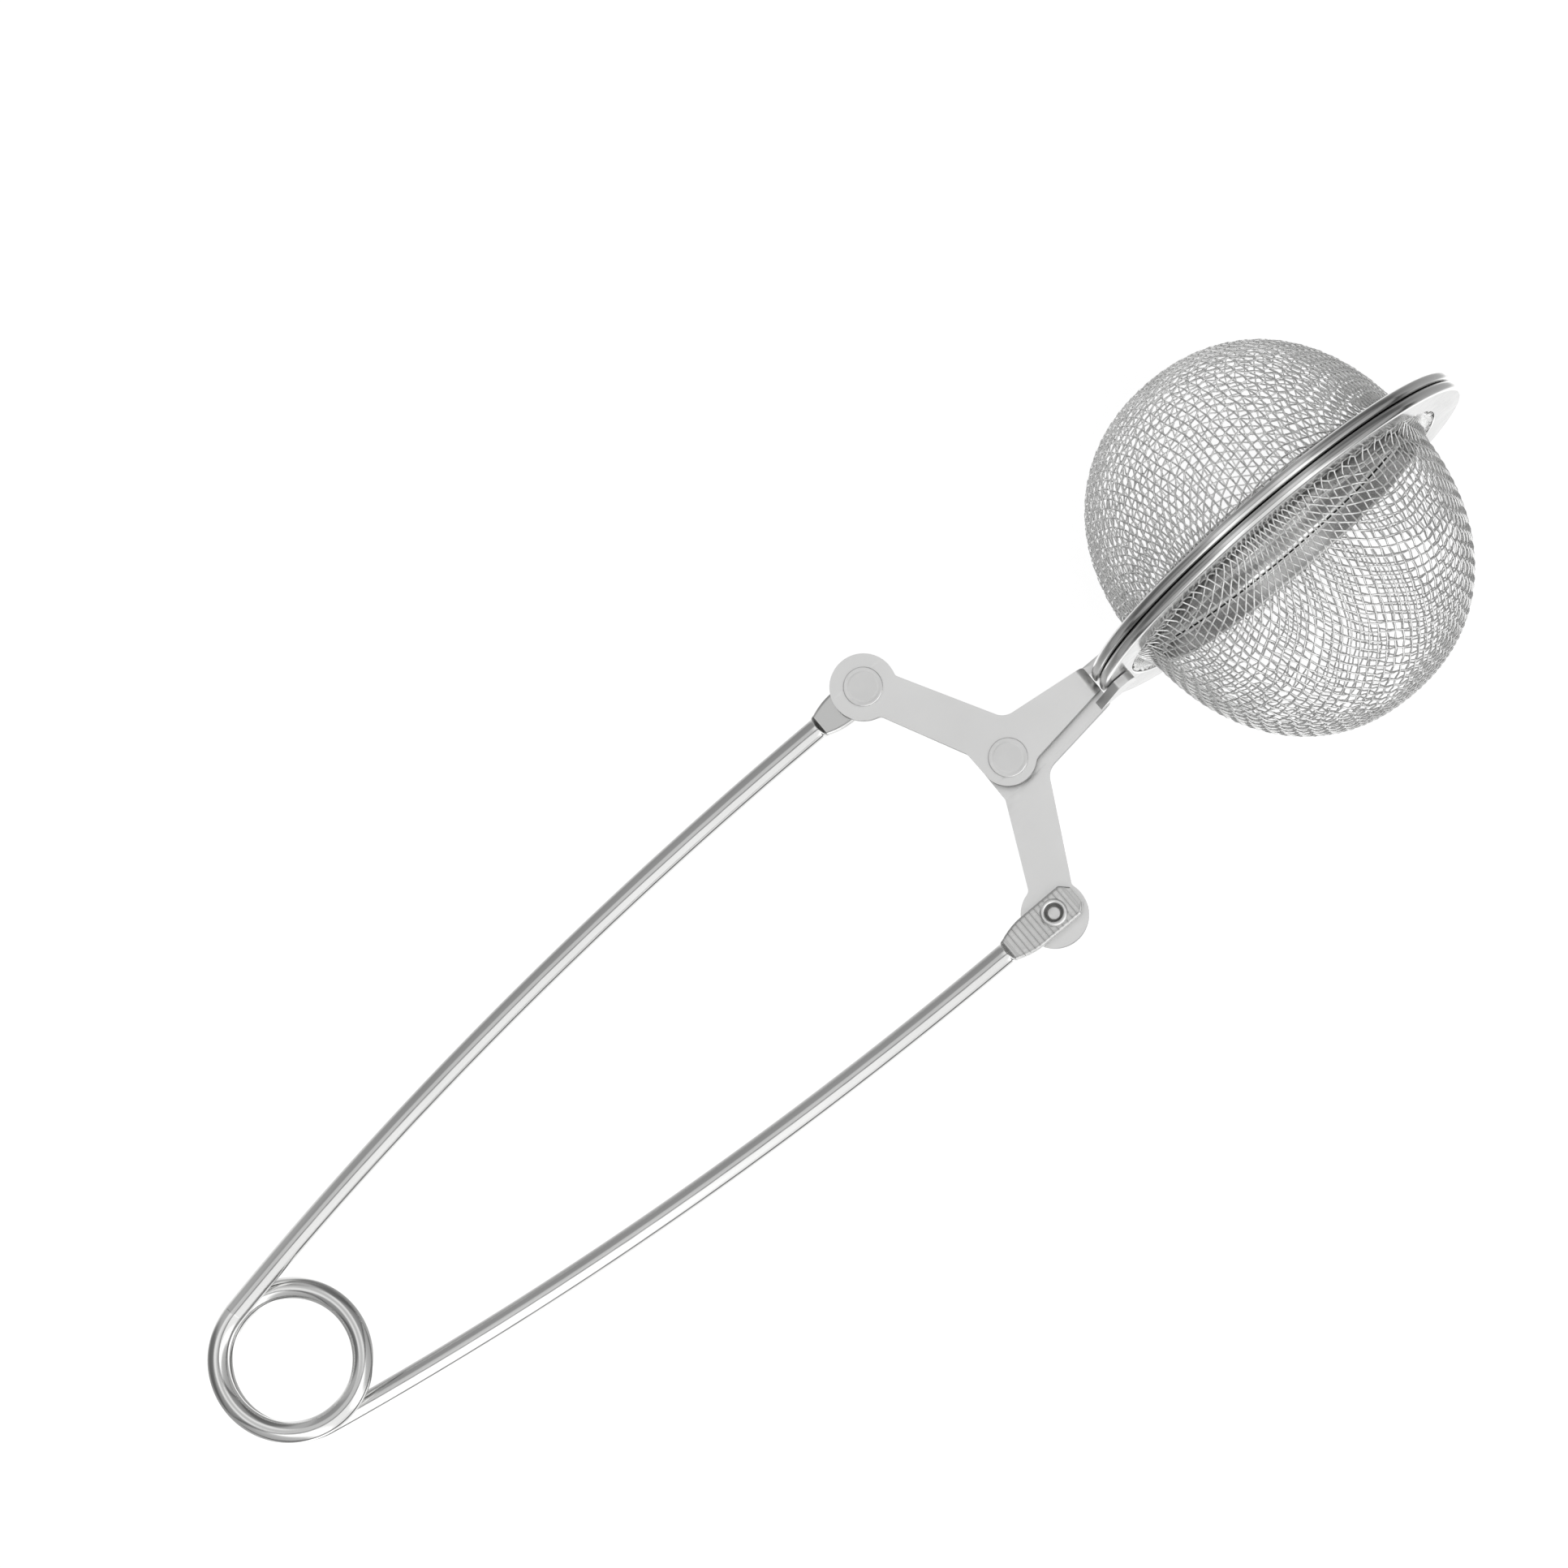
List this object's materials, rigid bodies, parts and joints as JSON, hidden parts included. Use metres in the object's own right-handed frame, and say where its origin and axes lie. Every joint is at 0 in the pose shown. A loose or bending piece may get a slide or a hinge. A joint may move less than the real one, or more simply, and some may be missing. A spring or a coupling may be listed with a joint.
{
  "type": "tea infuser",
  "caption": "Mesh-ball tea infuser: two woven-wire cups on rimmed levers close into a ball, and squeezing the sprung wire handle opens them.",
  "frame": {"origin": "halfway between the handle's end and the ball's, on the plane where the rims meet; it is within 0.7 mm of the middle of the bounding box", "axes": "+X from the handle's coil to the ball, +Y from the lower cup to the upper cup, +Z along the pivot axis"},
  "size_m": [0.1743, 0.0447, 0.0508],
  "materials": {
    "satin_sheet": "satin stainless sheet with fine grain and softened edges",
    "polished_rim": "polished stainless sheet",
    "woven_wire": "plain-woven stainless wire, about one wire per millimetre",
    "rivet_steel": "satin stainless rivet",
    "bright_wire": "bright drawn stainless wire"
  },
  "bodies": {
    "lower_jaw": {"lower_lever": "satin_sheet", "lower_rim": "polished_rim", "lower_mesh_cup": "woven_wire", "lower_handle_rivet": "rivet_steel", "pivot_rivet": "rivet_steel"},
    "upper_jaw": {"upper_lever": "satin_sheet", "upper_rim": "polished_rim", "upper_mesh_cup": "woven_wire", "upper_handle_rivet": "rivet_steel"},
    "lower_handle": {"lower_handle_wire": "bright_wire", "coil_spring": "bright_wire"},
    "upper_handle": {"upper_handle_wire": "bright_wire"}
  },
  "joints": [
    {"name": "jaw_hinge", "type": "hinge", "parent": "lower_jaw", "child": "upper_jaw", "pos_m": [0.02375, 0, 0], "axis": [0, 0, 1], "range_deg": [0, 60], "stiffness_Nm_per_rad": 0.1, "springref_deg": -22.92},
    {"name": "lower_handle_hinge", "type": "hinge", "parent": "lower_jaw", "child": "lower_handle", "pos_m": [0.01666, -0.01622, 0], "axis": [0, 0, 1], "range_deg": [0, 33.5]},
    {"name": "upper_handle_hinge", "type": "hinge", "parent": "upper_jaw", "child": "upper_handle", "pos_m": [0.01666, 0.01622, 0], "axis": [0, 0, -1], "range_deg": [0, 33.5]}
  ],
  "couplings": [
    {"joint": "lower_handle_hinge", "follows": "jaw_hinge", "ratio": 0.55737},
    {"joint": "upper_handle_hinge", "follows": "jaw_hinge", "ratio": 0.55737}
  ]
}
